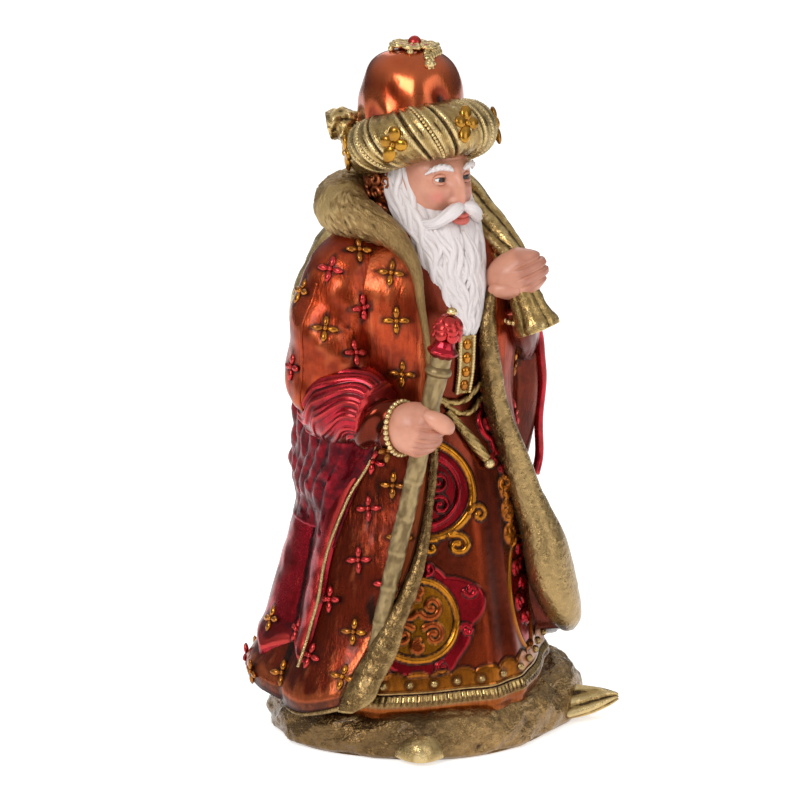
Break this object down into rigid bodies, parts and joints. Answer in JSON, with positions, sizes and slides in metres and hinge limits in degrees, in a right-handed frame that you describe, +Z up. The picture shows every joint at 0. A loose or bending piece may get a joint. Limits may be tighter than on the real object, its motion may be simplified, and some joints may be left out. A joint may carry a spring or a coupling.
{
  "type": "santa claus figurine",
  "caption": "Cast figurine of Santa Claus in a long starred coat and a wound turban, with a knobbed staff and a sack over the shoulder, on a rocky gilded base that rests flat.",
  "frame": {"origin": "middle of the base's flat underside", "axes": "+Z up along the figure, -Y out of the figure's front"},
  "size_m": [0.097, 0.0886, 0.2001],
  "materials": {
    "copper_lacquer": "satin-gloss copper lacquer with dark antiquing in the hollows",
    "robe_lacquer": "glossy dark copper-brown lacquer",
    "ruby_lacquer": "glossy ruby-red metallic lacquer",
    "antique_gold": "gold paint with fine glitter, rubbed dark in the hollows",
    "amber_lacquer": "glossy amber metallic lacquer",
    "white_hair": "white paint with a light grey-brown wash in the hollows",
    "skin": "satin flesh paint"
  },
  "bodies": {
    "root": {"santa_figurine": "copper_lacquer"}
  },
  "joints": []
}
